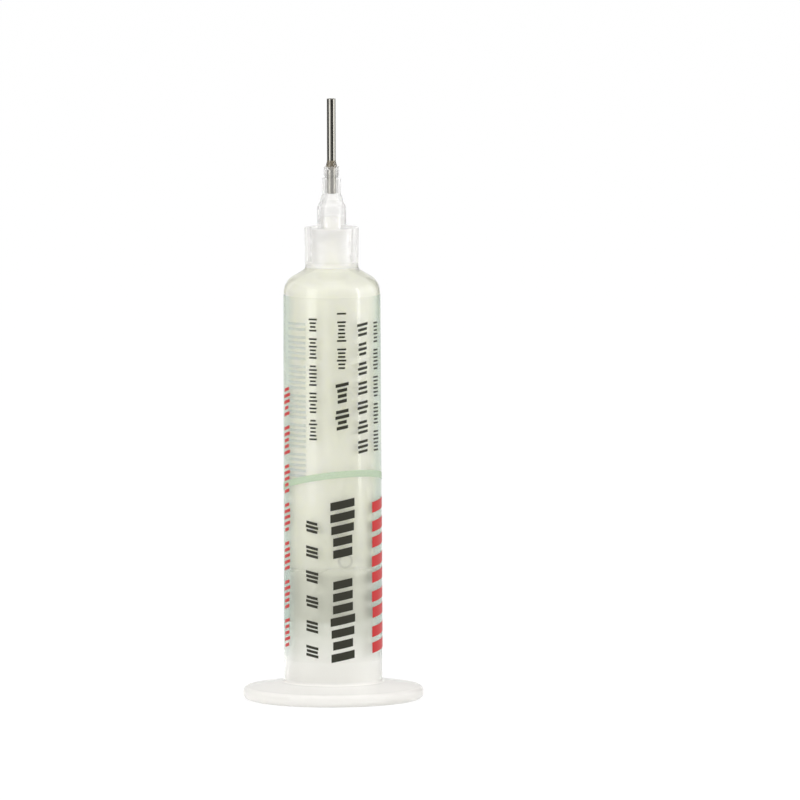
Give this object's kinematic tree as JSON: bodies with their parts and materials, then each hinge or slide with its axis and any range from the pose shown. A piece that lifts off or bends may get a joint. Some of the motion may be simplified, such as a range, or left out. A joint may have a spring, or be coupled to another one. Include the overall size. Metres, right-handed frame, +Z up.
{
  "type": "flux syringe",
  "caption": "Filled dispensing syringe standing on its finger flange: translucent barrel with threaded collar, wiper piston, film label, flux and a blunt steel needle in a clear twist-lock hub.",
  "frame": {"origin": "centre of the finger flange's underside, the face that the syringe stands on", "axes": "+Z up the barrel's centre line to the needle; -Y is the side seen in the picture, and the label's seam is at +Y"},
  "size_m": [0.0338, 0.0338, 0.1128],
  "materials": {
    "natural_plastic": "natural translucent polypropylene, moulded satin gloss",
    "printed_film": "thin printed film, satin",
    "flux": "pale yellow-green gel",
    "piston_plastic": "moulded polyethylene",
    "clear_plastic": "clear polypropylene, glossy",
    "adhesive": "cured adhesive",
    "steel": "drawn stainless steel tube"
  },
  "bodies": {
    "barrel": {"barrel": "natural_plastic", "label_film": "printed_film", "flux_paste": "flux"},
    "piston": {"piston": "piston_plastic"},
    "needle": {"needle_tube": "steel", "needle_bond": "adhesive"},
    "hub": {"needle_hub": "clear_plastic"}
  },
  "joints": [
    {"name": "piston_slide", "type": "slide", "parent": "barrel", "child": "piston", "axis": [0, 0, 1], "range_m": [0, 0.051], "deforming": ["flux_paste"]},
    {"name": "needle_lift", "type": "slide", "parent": "barrel", "child": "needle", "axis": [0, 0, 1], "range_m": [0, 0.00278]},
    {"name": "hub_twist", "type": "hinge", "parent": "needle", "child": "hub", "pos_m": [0, 0, 0.0853], "axis": [0, 0, 1], "range_deg": [0, 201]}
  ],
  "couplings": [
    {"joint": "hub_twist", "follows": "needle_lift", "rad_per_m": 1256.6}
  ]
}
